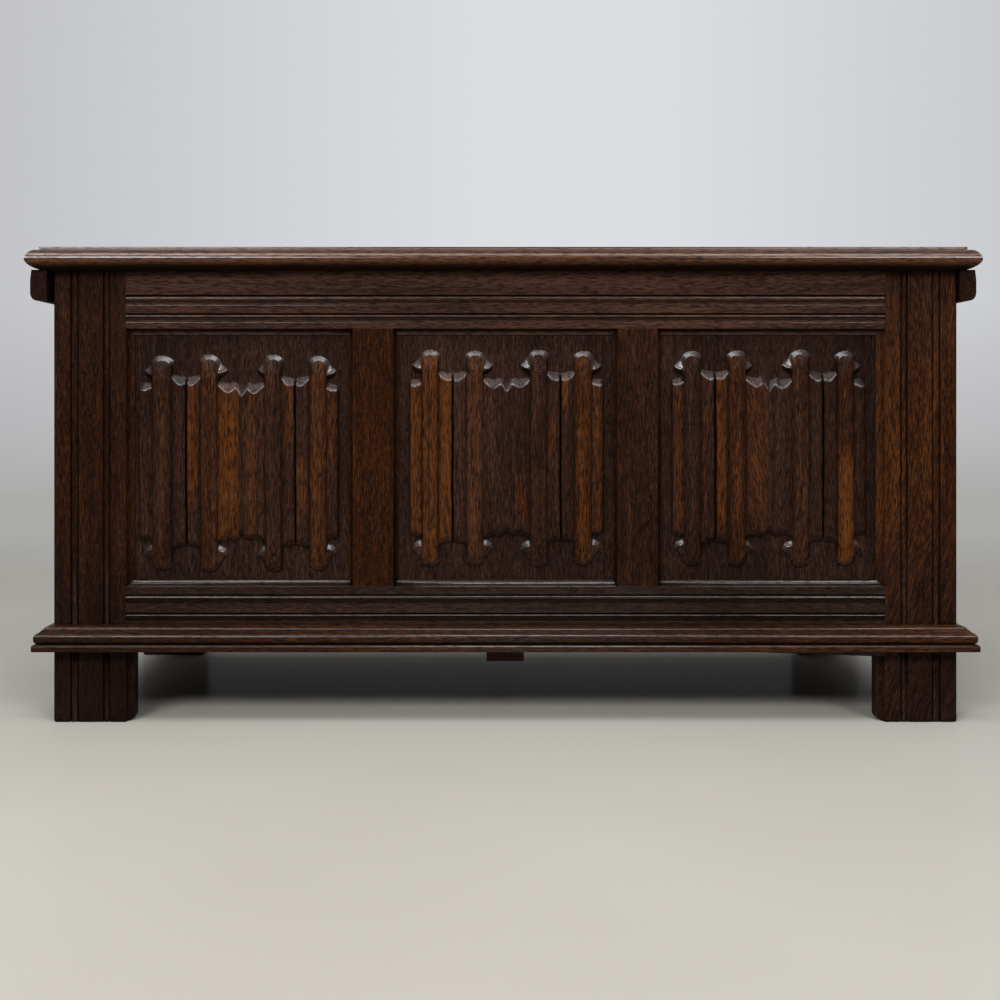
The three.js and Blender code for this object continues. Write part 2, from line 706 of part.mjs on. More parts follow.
function lid() {
  const group = new THREE.Group();
  const half = carcassWidth / 2 + lidOverhang;
  const lidFront = frontY - lidOverhang;
  const nose = noseShares.map(([inset, rise]) => [noseReach * inset, noseHeight * rise]);
  const rings = [...nose, [noseReach, lidThickness]].map(([inset, rise]) => {
    const z = lidBottom + rise;
    return [
      [inset - half, lidFront + inset, z], [half - inset, lidFront + inset, z],
      [half - inset, backY, z], [inset - half, backY, z],
    ];
  });
  const recesses = hingePlaces.map((x) => block(
    [carcassX + x - leafLength / 2 - jointGap, carcassX + x + leafLength / 2 + jointGap],
    [backY - leafWidth - jointGap, backY + overrun],
    [lidBottom - overrun, lidBottom + leafThickness + jointGap],
  ));
  const slab = cut(loft(rings, ([x, y]) => [x, y]), ...recesses);
  const names = ['lid_board_front', 'lid_board_middle', 'lid_board_back'];
  const pitch = (backY - lidFront) / names.length;
  names.forEach((name, i) => {
    const board = block(
      [-half - overrun, half + overrun],
      [lidFront + pitch * i, lidFront + pitch * (i + 1)],
      [lidBottom - overrun, lidBottom + lidThickness + overrun],
    );
    group.add(node(name, slab.intersect(board), darkOak));
  });
  group.add(cleat(-1), cleat(1));
  return group;
}

// A cleat's outer face is slightly full, and its lower outer corner is rounded
function cleat(side) {
  const inner = carcassWidth / 2 + cleatPlay;
  const outer = inner + cleatThickness;
  const bottom = lidBottom - cleatHeight;
  const corner = Array.from({ length: roundSteps + 1 }, (_, i) => {
    const turn = (Math.PI / 2) * (i / roundSteps);
    return [outer - cleatRound * (1 - Math.cos(turn)), bottom + cleatRound * (1 - Math.sin(turn))];
  });
  const section = [
    [inner, lidBottom], [outer - cleatBelly, lidBottom], [outer, lidBottom - cleatHeight / 3],
    ...corner, [inner, bottom],
  ].map(([x, z]) => [side * x, z]);
  const body = bar(section, 'y', frontY - lidOverhang + cleatSetback, backY - cleatBackSetback);
  return node(side > 0 ? 'lid_cleat_right' : 'lid_cleat_left', body, darkOak);
}

// Butt hinges: the leaves are let in flush, and the knuckles stand just behind the back
function hingeLeaf(x, upper) {
  const section = { left: x - leafLength / 2, right: x + leafLength / 2 };
  const step = leafLength / knuckleCount;
  const plateZ = upper ? [lidBottom, lidBottom + leafThickness] : [carcassHeight - leafThickness, carcassHeight];
  const plate = block([section.left, section.right], [backY - leafWidth, pinY], plateZ);
  const alongX = new THREE.Matrix4().makeRotationZ(-Math.PI / 2);
  const rod = (radius, from, to) => solid(new THREE.CylinderGeometry(radius, radius, to - from, hingeSides)
    .applyMatrix4(alongX).translate((from + to) / 2, pinY, pinZ));
  const mine = Array.from({ length: knuckleCount }, (_, i) => i).filter((i) => (i % 2 === 1) === upper);
  const theirs = Array.from({ length: knuckleCount }, (_, i) => i).filter((i) => (i % 2 === 1) !== upper);
  const spanOf = (i, spare) => [section.left + step * i - spare, section.left + step * (i + 1) + spare];
  const knuckles = mine.map((i) => rod(knuckleRadius, ...spanOf(i, 0)));
  const slots = theirs.map((i) => block(
    spanOf(i, knuckleGap),
    [backY, pinY + knuckleRadius + overrun],
    [pinZ - knuckleRadius - overrun, pinZ + knuckleRadius + overrun],
  ));
  const hole = rod(pinRadius + jointGap, section.left - overrun, section.right + overrun);
  return cut(join(plate, ...knuckles), ...slots, hole);
}

function hingePin(x) {
  const half = leafLength / 2 + jointGap;
  const profile = [
    [0, -half - pinHeadLength], [pinRadius, -half - pinHeadLength], [pinHeadRadius, -half - pinHeadLength / 2],
    [pinHeadRadius, -half], [pinRadius, -half], [pinRadius, half], [pinHeadRadius, half],
    [pinHeadRadius, half + pinHeadLength / 2], [pinRadius, half + pinHeadLength], [0, half + pinHeadLength],
  ].map(([r, along]) => new THREE.Vector2(r, along));
  const geometry = new THREE.LatheGeometry(profile, hingeSides);
  return solid(geometry.applyMatrix4(new THREE.Matrix4().makeRotationZ(-Math.PI / 2)).translate(x, pinY, pinZ));
}

function hinges() {
  const carcass = new THREE.Group();
  hingePlaces.forEach((place, i) => {
    const hand = i === 0 ? 'left' : 'right';
    const x = carcassX + place;
    carcass.add(
      node(`hinge_leaf_carcass_${hand}`, hingeLeaf(x, false), null, iron),
      node(`hinge_leaf_lid_${hand}`, hingeLeaf(x, true), null, iron),
      node(`hinge_pin_${hand}`, hingePin(x), null, iron),
    );
  });
  return carcass;
}

const chest = new THREE.Group();
chest.add(frontFrame(), endFrame(-1), endFrame(1), backFrame(), baseMoulding(), floor(), lid(), hinges());

export default chest;
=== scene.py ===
import math

import bmesh
import bpy
import numpy as np
from mathutils import Matrix, Vector


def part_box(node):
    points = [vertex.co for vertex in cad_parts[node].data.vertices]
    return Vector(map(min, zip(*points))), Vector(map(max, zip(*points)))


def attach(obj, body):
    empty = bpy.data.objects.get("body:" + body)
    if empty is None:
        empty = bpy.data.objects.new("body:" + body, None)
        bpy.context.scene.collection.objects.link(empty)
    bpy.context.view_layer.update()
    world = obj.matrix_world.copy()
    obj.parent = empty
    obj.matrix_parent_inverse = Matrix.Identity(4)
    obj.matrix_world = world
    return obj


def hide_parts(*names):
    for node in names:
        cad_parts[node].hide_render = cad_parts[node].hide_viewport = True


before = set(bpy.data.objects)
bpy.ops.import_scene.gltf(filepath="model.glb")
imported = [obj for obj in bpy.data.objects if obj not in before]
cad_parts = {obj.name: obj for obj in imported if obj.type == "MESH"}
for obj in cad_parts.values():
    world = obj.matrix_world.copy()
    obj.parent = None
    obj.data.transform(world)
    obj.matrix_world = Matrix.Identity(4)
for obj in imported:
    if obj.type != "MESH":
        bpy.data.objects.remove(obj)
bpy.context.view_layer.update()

# The room
# A pale grey wall and a pale waxed floor, in one soft light from above the front.
# The camera stands level, a little left of the middle, at about the height of the panels.
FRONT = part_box("front_stile_left")[0].y
EYE_ASIDE = -0.028
EYE_AWAY = 1.75
EYE_HEIGHT = 0.428
FOCAL_PIXELS = 1316.9
IMAGE_PIXELS = 1000
HORIZON_PIXEL = 400
MIDDLE_PIXEL = 482
SENSOR = 36.0

lens = bpy.data.cameras.new("camera")
lens.sensor_width = SENSOR
lens.lens = SENSOR * FOCAL_PIXELS / IMAGE_PIXELS
lens.shift_x = 0.5 - MIDDLE_PIXEL / IMAGE_PIXELS
lens.shift_y = HORIZON_PIXEL / IMAGE_PIXELS - 0.5
camera = bpy.data.objects.new("camera", lens)
camera.location = (EYE_ASIDE, FRONT - EYE_AWAY, EYE_HEIGHT)
camera.rotation_euler = (math.radians(90), 0, 0)
bpy.context.scene.collection.objects.link(camera)
bpy.context.scene.camera = camera
bpy.context.scene.view_settings.view_transform = "Standard"


def add(tree, kind, inputs=(), family="ShaderNode", **settings):
    """A node with its settings, and its inputs linked or set."""
    made = tree.nodes.new(family + kind)
    for key, value in settings.items():
        setattr(made, key, value)
    for key, value in dict(inputs).items():
        if isinstance(value, bpy.types.NodeSocket):
            tree.links.new(value, made.inputs[key])
        else:
            made.inputs[key].default_value = value
    return made


def blended(tree, share, first, second, how="MIX"):
    """The mix of two colours, as the socket it comes out of."""
    node = add(tree, "Mix", {0: share, 6: first, 7: second}, data_type="RGBA", blend_type=how)
    return node.outputs[2]


def ramp(tree, value, *stops):
    """A colour ramp through (place, colour) stops, as its colour socket."""
    node = add(tree, "ValToRGB", {0: value})
    while len(node.color_ramp.elements) < len(stops):
        node.color_ramp.elements.new(0.5)
    for element, (place, colour) in zip(node.color_ramp.elements, stops):
        element.position = place
        element.color = (*colour, 1)
    return node.outputs[0]


def number(tree, operation, *values):
    """A sum on numbers or sockets, as its socket."""
    return add(tree, "Math", dict(enumerate(values)), operation=operation).outputs[0]


def spread(tree, value, low, high, first=0.0, last=1.0, **settings):
    """A number from low to high made one from first to last, as its socket."""
    return add(tree, "MapRange", {0: value, 1: low, 2: high, 3: first, 4: last}, **settings).outputs[0]


def new_material(name):
    """A material with nothing in it but its output, and its tree."""
    material = bpy.data.materials.new(name)
    material.use_nodes = True
    material.node_tree.nodes.clear()
    return material, material.node_tree


def finish_material(tree, shader):
    """The last step of a material: its shader joined to the output."""
    output = add(tree, "OutputMaterial")
    tree.links.new(shader, output.inputs["Surface"])


floor_material, tree = new_material("floor")
place = add(tree, "TexCoord").outputs["Object"]
cloud = add(tree, "TexNoise", {"Vector": place, "Scale": 1.3, "Detail": 3.0}).outputs["Fac"]
FLOOR_TONES = [(0.35, (0.51, 0.488, 0.434)), (0.65, (0.548, 0.526, 0.472))]
waxed = add(tree, "BsdfPrincipled", {"Base Color": ramp(tree, cloud, *FLOOR_TONES), "Roughness": 0.6,
                                     "Specular IOR Level": 0.0, "Coat Weight": 0.09, "Coat Roughness": 0.2})
FAR_TONE = (0.405, 0.405, 0.385, 1)
FAR_FROM = 0.35
FAR_TO = 2.6
depth = add(tree, "SeparateXYZ", {0: place}).outputs["Y"]
distant = spread(tree, depth, FAR_FROM, FAR_TO, interpolation_type="SMOOTHSTEP")
pale = add(tree, "Emission", {"Color": FAR_TONE, "Strength": 1.0})
seen = add(tree, "LightPath").outputs["Is Camera Ray"]
faded = number(tree, "MULTIPLY", distant, seen)
shown = add(tree, "MixShader", {0: faded, 1: waxed.outputs[0], 2: pale.outputs[0]})
finish_material(tree, shown.outputs[0])

wall_material, tree = new_material("wall")
place = add(tree, "TexCoord").outputs["Object"]
up = add(tree, "SeparateXYZ", {0: place}).outputs["Z"]
# The wall's colour is painted shade: darker towards the floor, and darker away from its lightest place, as
# light falls off over a backdrop.
WALL_SHADED_TONES = [(0.0, (0.40, 0.40, 0.385)), (0.12, (0.52, 0.52, 0.525)), (0.45, (0.71, 0.72, 0.745)),
              (1.0, (0.71, 0.72, 0.755))]
WALL_TONES_REACH = 2.0
SIDE_SHADE_TONE = (0.42, 0.42, 0.435, 1)
LIGHTEST_PLACE = 0.4
SIDE_SHARE = 0.3
painted = ramp(tree, number(tree, "DIVIDE", up, WALL_TONES_REACH), *WALL_SHADED_TONES)
aside = add(tree, "VectorMath", {0: place, 1: (-SIDE_SHARE, 0, 0), 2: (SIDE_SHARE * LIGHTEST_PLACE, 0, 0)},
            operation="MULTIPLY_ADD")
aside = add(tree, "VectorMath", {0: aside.outputs[0]}, operation="LENGTH").outputs["Value"]
side_shade = spread(tree, aside, 0.12, 1.2, 0.0, 0.9)
painted = blended(tree, side_shade, painted, SIDE_SHADE_TONE)
matt = add(tree, "BsdfPrincipled", {"Base Color": (0.6, 0.6, 0.61, 1), "Roughness": 0.9})
bright = add(tree, "Emission", {"Color": painted, "Strength": 1.0})
ray = add(tree, "LightPath")
seen = number(tree, "MAXIMUM", ray.outputs["Is Camera Ray"], ray.outputs["Is Glossy Ray"])
shown = add(tree, "MixShader", {0: seen, 1: matt.outputs[0], 2: bright.outputs[0]})
finish_material(tree, shown.outputs[0])

FLOOR_HALF = 9.0
WALL_PLACE = 4.2
WALL_HEIGHT = 7.0


def sheet_of(name, corners, material):
    """One flat sheet of the room, which is no part of the chest."""
    mesh = bpy.data.meshes.new(name)
    mesh.from_pydata(corners, [], [tuple(range(len(corners)))])
    thing = bpy.data.objects.new(name, mesh)
    bpy.context.scene.collection.objects.link(thing)
    mesh.materials.append(material)


sheet_of("floor", [(-FLOOR_HALF, -FLOOR_HALF, 0), (FLOOR_HALF, -FLOOR_HALF, 0),
                   (FLOOR_HALF, WALL_PLACE, 0), (-FLOOR_HALF, WALL_PLACE, 0)], floor_material)
sheet_of("wall", [(-FLOOR_HALF, WALL_PLACE, 0), (FLOOR_HALF, WALL_PLACE, 0),
                  (FLOOR_HALF, WALL_PLACE, WALL_HEIGHT), (-FLOOR_HALF, WALL_PLACE, WALL_HEIGHT)],
         wall_material)

LIT_PLACE = Vector((0, -0.2, 0.3))
LAMPS = {  # place, width, height and watts
    "left": ((-1.5, -3.7, 2.5), 1.8, 1.0, 82),
    "right": ((1.8, -3.7, 2.5), 1.3, 0.9, 48),
    "above": ((-0.2, -1.5, 3.3), 4.0, 1.1, 56),
}
for name, (place, wide, tall, watts) in LAMPS.items():
    light = bpy.data.lights.new(name, "AREA")
    light.shape = "RECTANGLE"
    light.size, light.size_y = wide, tall
    light.energy = watts
    lamp = bpy.data.objects.new(name, light)
    lamp.location = place
    lamp.rotation_euler = (LIT_PLACE - lamp.location).to_track_quat("-Z", "Y").to_euler()
    bpy.context.scene.collection.objects.link(lamp)

world = bpy.data.worlds.new("world")
world.use_nodes = True
bpy.context.scene.world = world
tree = world.node_tree
tree.nodes.clear()
way = add(tree, "TexCoord").outputs["Generated"]
up = add(tree, "SeparateXYZ", {0: way}).outputs["Z"]
SKY_LIGHT = [(0.0, (0.045, 0.045, 0.045)), (0.5, (0.07, 0.07, 0.075)), (0.62, (0.45, 0.45, 0.48)),
             (1.0, (0.6, 0.6, 0.64))]
SKY_MIRRORED = [(0.5, (0.07, 0.07, 0.075)), (0.62, (0.45, 0.45, 0.48)), (0.85, (0.4, 0.4, 0.42)),
                (1.0, (0.16, 0.16, 0.17))]
SKY_SEEN = (0.6, 0.605, 0.625, 1)
ray = add(tree, "LightPath")
sky = blended(tree, ray.outputs["Is Glossy Ray"], ramp(tree, up, *SKY_LIGHT), ramp(tree, up, *SKY_MIRRORED))
sky = blended(tree, ray.outputs["Is Camera Ray"], sky, SKY_SEEN)
background = add(tree, "Background", {"Color": sky, "Strength": 1.0})
output = add(tree, "OutputWorld")
tree.links.new(background.outputs[0], output.inputs["Surface"])

# The oak
# Stained and waxed oak, seen in every member: streaks and pores run along the grain, shade is painted dark
# into grooves, joints and undersides, light is painted pale onto cut facets that face up, and handling has
# rubbed some boards back to a honey colour.
MM = 0.001
figure = bpy.data.node_groups.new("oak_figure", "ShaderNodeTree")
figure.interface.new_socket("Vector", in_out="INPUT", socket_type="NodeSocketVector")
figure.interface.new_socket("Seed", in_out="INPUT", socket_type="NodeSocketFloat")
for name in ("Tone", "Pores", "Flecks", "Height"):
    figure.interface.new_socket(name, in_out="OUTPUT", socket_type="NodeSocketFloat")
tree = figure
given = tree.nodes.new("NodeGroupInput")
taken = tree.nodes.new("NodeGroupOutput")
BOARD_SHIFT = (3.7, 1.3, 7.9)
shift = add(tree, "CombineXYZ", {axis: number(tree, "MULTIPLY", given.outputs["Seed"], far)
                                 for axis, far in enumerate(BOARD_SHIFT)})
moved = add(tree, "VectorMath", {0: given.outputs["Vector"], 1: shift.outputs[0]}, operation="ADD")
moved = moved.outputs[0]
WAVER = (0.010, 0.010, 0.0)
waver = add(tree, "TexNoise", {"Vector": moved, "Scale": 2.6, "Detail": 2.0})
waver = add(tree, "VectorMath", {0: waver.outputs["Color"], 1: WAVER}, operation="MULTIPLY")
bent = add(tree, "VectorMath", {0: moved, 1: waver.outputs[0]}, operation="ADD").outputs[0]


def stretched(vector, share):
    """The coordinates drawn out along the grain, which runs along Z."""
    return add(tree, "VectorMath", {0: vector, 1: (1, 1, share)}, operation="MULTIPLY").outputs[0]


def marks(vector, share, scale, detail, low, high):
    """Stretched noise, with its middle values spread over the whole of 0 to 1."""
    noise = add(tree, "TexNoise", {"Vector": stretched(vector, share), "Scale": scale, "Detail": detail})
    return spread(tree, noise.outputs["Fac"], low, high)


streak = marks(bent, share=0.09, scale=760.0, detail=2.0, low=0.3, high=0.7)
band = marks(bent, share=0.04, scale=120.0, detail=3.0, low=0.3, high=0.7)
patch = marks(moved, share=0.3, scale=9.0, detail=2.0, low=0.35, high=0.65)
pores = marks(bent, share=0.15, scale=540.0, detail=2.0, low=0.5, high=0.62)
flecks = marks(moved, share=0.4, scale=420.0, detail=1.0, low=0.58, high=0.66)
STREAK_SHARE = 0.52
BAND_SHARE = 0.26
PATCH_SHARE = 0.22
STREAK_HEIGHT = 0.3
tone = number(tree, "MULTIPLY_ADD", band, BAND_SHARE, number(tree, "MULTIPLY", patch, PATCH_SHARE))
tone = number(tree, "MULTIPLY_ADD", streak, STREAK_SHARE, tone)
height = number(tree, "SUBTRACT", number(tree, "MULTIPLY", streak, STREAK_HEIGHT), pores)
for name, socket in (("Tone", tone), ("Pores", pores), ("Flecks", flecks), ("Height", height)):
    tree.links.new(socket, taken.inputs[name])

GRAIN_TURNS = {"upright": (0, 0, 0), "across": (0, -math.pi / 2, 0), "endwise": (math.pi / 2, 0, 0)}
STAIN = [(0.1, (0.0120, 0.0056, 0.0041)), (0.5, (0.0265, 0.0130, 0.0096)), (0.9, (0.060, 0.0315, 0.0240))]
HONEY = [(0.1, (0.0130, 0.0031, 0.0006)), (0.5, (0.0360, 0.0100, 0.0021)), (0.9, (0.112, 0.0362, 0.0083))]
DIRT_AND_SHADE = (0.003, 0.0017, 0.0013, 1)
PAINTED_LIGHT = (0.060, 0.050, 0.047, 1)
RUBBED_LIFT = 0.45
PORE_DIRT = 0.68
FLECK_SHARE = 0.3
CORNER_SHADE_REACH = 8 * MM
CORNER_SHADE_OPENNESS = (0.85, 0.35)
UNDERSIDE_TURN = (-0.4, -0.9)
MOST_SHADE = 0.9
WORN_EDGE = 1.3 * MM
WORN_TURN = (0.995, 0.9)
EDGE_WEAR_AND_HIGHLIGHT = 0.5
PORE_DEPTH = 0.12 * MM
WAX_ROUGHNESS = 0.2
WAX_IOR = 1.75


def oak(name, grain):
    """Stained oak with its grain along one axis, its colour holding painted shade and painted light. The
    piece's attributes give its board's number, its tone, how far the stain is rubbed back to honey, and its
    painted shade, wax, painted light on cut facets and slanting grain."""
    material, tree = new_material(name)
    own = {key: add(tree, "Attribute", attribute_name=key).outputs["Fac"]
           for key in ("board", "tone", "honey", "hollow", "sheen", "painted_light", "open", "slant")}
    place = add(tree, "TexCoord").outputs["Object"]
    leaning = add(tree, "CombineXYZ", {0: own["slant"]}).outputs[0]
    place = add(tree, "VectorMath", {0: place, 1: leaning}, operation="ADD").outputs[0]
    turned = add(tree, "Mapping", {"Vector": place, "Rotation": GRAIN_TURNS[grain]}).outputs[0]
    figured = add(tree, "Group", node_tree=figure)
    tree.links.new(turned, figured.inputs["Vector"])
    tree.links.new(own["board"], figured.inputs["Seed"])
    streaks, pores, flecks, height = (figured.outputs[key] for key in ("Tone", "Pores", "Flecks", "Height"))

    tone = number(tree, "ADD", streaks, own["tone"])
    worn = number(tree, "MULTIPLY", own["honey"], number(tree, "MULTIPLY_ADD", streaks, 0.8, 0.6))
    colour = blended(tree, worn, ramp(tree, tone, *STAIN), ramp(tree, tone, *HONEY))
    rubbed = ramp(tree, number(tree, "ADD", tone, RUBBED_LIFT), *STAIN)
    colour = blended(tree, number(tree, "MULTIPLY", pores, PORE_DIRT), colour, DIRT_AND_SHADE)
    colour = blended(tree, number(tree, "MULTIPLY", flecks, FLECK_SHARE), colour, rubbed)

    # Painted shade: the colour is darkened in corners, creases and joints, where little light reaches, and
    # on faces that turn down.
    corner_shade = add(tree, "AmbientOcclusion", {"Distance": CORNER_SHADE_REACH}, samples=6).outputs["AO"]
    true_normal = add(tree, "NewGeometry").outputs["Normal"]
    facing = add(tree, "SeparateXYZ", {0: true_normal}).outputs["Z"]
    underside_shade = spread(tree, facing, *UNDERSIDE_TURN, 0.0, MOST_SHADE)
    underside_shade = number(tree, "MULTIPLY", underside_shade, number(tree, "SUBTRACT", 1.0, own["open"]))
    shade_mask = number(tree, "MAXIMUM", spread(tree, corner_shade, *CORNER_SHADE_OPENNESS, 0.0, MOST_SHADE), own["hollow"])
    shade_mask = number(tree, "MAXIMUM", shade_mask, underside_shade)
    unshaded = number(tree, "SUBTRACT", 1.0, shade_mask)
    colour = blended(tree, shade_mask, colour, DIRT_AND_SHADE)

    soft_edge = add(tree, "Bevel", {"Radius": WORN_EDGE}, samples=4).outputs[0]
    # Edges are painted paler, towards the rubbed colour: partly worn arrises, partly a painted highlight.
    edge = add(tree, "VectorMath", {0: soft_edge, 1: true_normal}, operation="DOT_PRODUCT")
    rim = spread(tree, edge.outputs["Value"], *WORN_TURN, 0.0, EDGE_WEAR_AND_HIGHLIGHT)
    colour = blended(tree, number(tree, "MULTIPLY", rim, unshaded), colour, rubbed)
    # Painted light: cut facets are painted pale, the more so the further they turn up.
    lit_from_above = spread(tree, facing, 0.0, 0.5, 0.3, 0.5)
    colour = blended(tree, number(tree, "MULTIPLY", own["painted_light"], lit_from_above), colour, PAINTED_LIGHT)

    plain = number(tree, "SUBTRACT", 1.0, own["sheen"])
    relief = add(tree, "Bump", {"Strength": number(tree, "MULTIPLY_ADD", plain, 0.36, 0.04),
                                "Distance": PORE_DEPTH, "Height": height, "Normal": soft_edge})
    gloss = number(tree, "MULTIPLY_ADD", pores, 0.2, number(tree, "MULTIPLY_ADD", shade_mask, 0.3, 0.36))
    turned_up = add(tree, "SeparateXYZ", {0: soft_edge}).outputs["Z"]
    polished = spread(tree, turned_up, 0.0, 0.4, 0.25, 1.0)
    wax = number(tree, "MULTIPLY", own["sheen"], number(tree, "MULTIPLY_ADD", pores, -0.4, 1.0))
    wax = number(tree, "MULTIPLY", number(tree, "MULTIPLY", wax, unshaded), polished)
    surface = add(tree, "BsdfPrincipled", {
        "Base Color": colour, "Roughness": gloss, "Normal": relief.outputs[0],
        "Specular IOR Level": 0.03, "Coat Weight": wax, "Coat Roughness": WAX_ROUGHNESS,
        "Coat IOR": WAX_IOR})
    finish_material(tree, surface.outputs[0])
    return material


OAKS = {grain: oak("oak_" + grain, grain) for grain in GRAIN_TURNS}


def constant(mesh, name, value):
    """One number for the whole piece, or one for each of its points, for the material to read."""
    layer = mesh.attributes.new(name, "FLOAT", "POINT")
    layer.data.foreach_set("value", np.broadcast_to(value, len(mesh.vertices)).astype(np.float32))


def along(place, table):
    """The value at a place, read off a table of (place, value) pairs."""
    places, values = zip(*table)
    return np.interp(place, places, values)


WELD = 0.01 * MM
FLAT = math.radians(0.5)
NARROW = 5 * MM
SLANT_FROM = 0.3


def member(node, body, grain, board, tone=0.0, honey=0.3, sheen=0.02, slant=0.0, crease=30):
    """A sawn and moulded member: the CAD solid, welded, with its round stretches smooth.
    Tone, honey or sheen is one number, or (place, value) stops along the grain."""
    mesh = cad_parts[node].data.copy()
    work = bmesh.new()
    work.from_mesh(mesh)
    bmesh.ops.remove_doubles(work, verts=work.verts, dist=WELD)
    bmesh.ops.dissolve_limit(work, angle_limit=FLAT, verts=work.verts[:], edges=work.edges[:])
    length = {"across": 0, "endwise": 1, "upright": 2}[grain]
    square = Vector([float(axis == length) for axis in range(3)])
    for stops in (tone, honey, sheen):
        for place, _ in stops if isinstance(stops, list) else ():
            every = work.verts[:] + work.edges[:] + work.faces[:]
            bmesh.ops.bisect_plane(work, geom=every, plane_co=square * place, plane_no=square)
    narrow = [face.calc_area() < NARROW * max(edge.calc_length() for edge in face.edges)
              for face in work.faces]
    work.to_mesh(mesh)
    work.free()
    mesh.set_sharp_from_angle(angle=math.radians(crease))
    mesh.polygons.foreach_set("use_smooth", narrow)
    run = [point.co[length] for point in mesh.vertices]
    for name, value in (("board", board), ("tone", tone), ("honey", honey), ("sheen", sheen)):
        constant(mesh, name, along(run, value) if isinstance(value, list) else value)
    constant(mesh, "slant", [slant * max(0.0, SLANT_FROM - point.co.z) for point in mesh.vertices])
    mesh.materials.clear()
    mesh.materials.append(OAKS[grain])
    piece = bpy.data.objects.new("shown_" + node, mesh)
    bpy.context.scene.collection.objects.link(piece)
    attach(piece, body)
    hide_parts(node)
    return piece


# Back frame
# Two posts, two rails and two muntins in plain oak, with square edges, tenoned together.
# Three thin boards without carving sit loose in their grooves.
for board, node in enumerate(["back_stile_left", "back_stile_right", "back_muntin_left",
                              "back_muntin_right", "back_panel_left", "back_panel_centre",
                              "back_panel_right"]):
    member(node, "carcass", "upright", 40 + board, tone=0.05)
for board, node in enumerate(["back_top_rail", "back_bottom_rail"]):
    member(node, "carcass", "across", 50 + board, tone=0.05)

# End frames
# Two oak posts and two rails at each end, scratched with the same beads as the front.
# The rails are tenoned into the posts, and a carved panel sits loose between them.
for side, hand in enumerate(["left", "right"]):
    member(f"side_stile_front_{hand}", "carcass", "upright", 60 + side)
    member(f"side_stile_back_{hand}", "carcass", "upright", 62 + side)
    member(f"side_top_rail_{hand}", "carcass", "endwise", 64 + side, sheen=0.2)
    member(f"side_bottom_rail_{hand}", "carcass", "endwise", 66 + side, sheen=0.2)

# Front frame
# Wide oak posts that run down as the legs, two moulded rails and two plain muntins.
# The rails are tenoned into the posts, and the muntins into the rails.
# The posts are painted darker at the feet, for the shade under the base moulding, and at the top, for the
# shade under the lid.
POST_TONE_AND_SHADE = [(0.0, -0.32), (0.09, -0.28), (0.25, -0.04), (0.56, 0.0), (0.6, -0.1)]
POST_HONEY = [(0.0, 0.1), (0.09, 0.2), (0.28, 0.75), (0.45, 0.7), (0.6, 0.4)]
LEFT_DARKER = 0.14
RIGHT_LIGHTER = 0.12
RIGHT_WORN = 0.15
member("front_stile_left", "carcass", "upright", 1, honey=POST_HONEY,
       tone=[(z, tone - LEFT_DARKER) for z, tone in POST_TONE_AND_SHADE])
member("front_stile_right", "carcass", "upright", 2, slant=0.3,
       tone=[(z, tone + RIGHT_LIGHTER) for z, tone in POST_TONE_AND_SHADE],
       honey=[(z, min(1.0, honey + RIGHT_WORN)) for z, honey in POST_HONEY])
RAIL_SHEEN = [(-0.48, 0.35), (-0.2, 0.42), (-0.05, 0.85), (0.15, 0.85), (0.3, 0.45), (0.48, 0.5)]
member("front_top_rail", "carcass", "across", 3, tone=0.18, honey=0.24, sheen=0.62)
member("front_bottom_rail", "carcass", "across", 4, tone=-0.18, honey=0.22, sheen=RAIL_SHEEN)
member("front_muntin_left", "carcass", "upright", 5, tone=-0.07, honey=0.95)
member("front_muntin_right", "carcass", "upright", 6, tone=-0.16, honey=0.5)

# Linenfold panels
# Oak boards carved like cloth in folds: four round rolls with low folds between them, their ends cut
# off in bevels with a small barb beside each roll. They sit loose in grooves.
FIELD = 11.0
BACK_DEPTH = 6.0
COLUMN_STEP = 0.72
END_STEP = 0.68
LONG_STEP = 5.0
END_BAND = (84.0, 147.0)
PATTERN_END = 190.0
SLIP = 1.3
ROLL_SLIP = 1.0
ROLL_HALF = 11.0
ROLL_CROWN = 9.5
ROLL_EDGE = 3.4
ROLL_SHOULDER = 5.2
CROWN_FALL = 4.6
CROWN_FALL_SPAN = (110, 136)
CROWN_FALL_BEND = 1.3
EDGE_RISE = 0.8
EDGE_RISE_SPAN = (112, 132)
ROLL_PLACES = (-102.3, -42.4, 42.4, 102.3)
ROLL_ARCH = 125.5
ROLL_TIP = [(-11.0, 131.0), (-12.8, 132.8), (-13.4, 135.2), (-12.0, 137.8), (-8.6, 140.4), (-4.5, 141.9),
            (0, 142.4), (4.6, 141.9), (8.4, 140.3)]
BARBS = {
    "full": [(11.4, 137.4), (13.4, 133.6), (15.8, 129.8), (19.4, 126.0), (24.6, 121.8)],
    "small": [(10.6, 138.0), (12.0, 135.4), (11.0, 131.4), (13.4, 128.8), (17.4, 125.6), (21.8, 121.8)],
}
BARB_UNDER = {
    "full": [(24.6, 121.8), (22.2, 115.6), (16.8, 111.4), (11.0, 109.5)],
    "small": [(21.4, 122.2), (19.6, 116.6), (15.4, 112.6), (11.0, 111.0)],
}
FOLDS = [  # from, to, height at each side, swell, and the line of the cut end
    (53.0, 71.3, 2.8, 5.6, 2.8, [(53, 116.5), (60, 115), (72, 112.8)]),
    (72.7, 91.5, 5.6, 2.8, 2.8, [(72, 112.8), (84, 115), (91, 116.5)]),
    (112.5, 128.6, 3.4, 4.2, 2.6, [(113, 104.5), (118, 106), (124, 105), (129, 102.5)]),
    (6.2, 32.0, 5.4, 3.0, 3.2, [(0, 99), (4, 104.6), (10, 107.2), (16, 105), (23, 106), (32, 108)]),
    (-6.6, 6.6, 5.4, 5.4, 1.9, [(0, 100.0), (4, 104.0), (10, 107.2)]),
]
TIP_EDGE = 0.4
TIP_RISE = 4.3
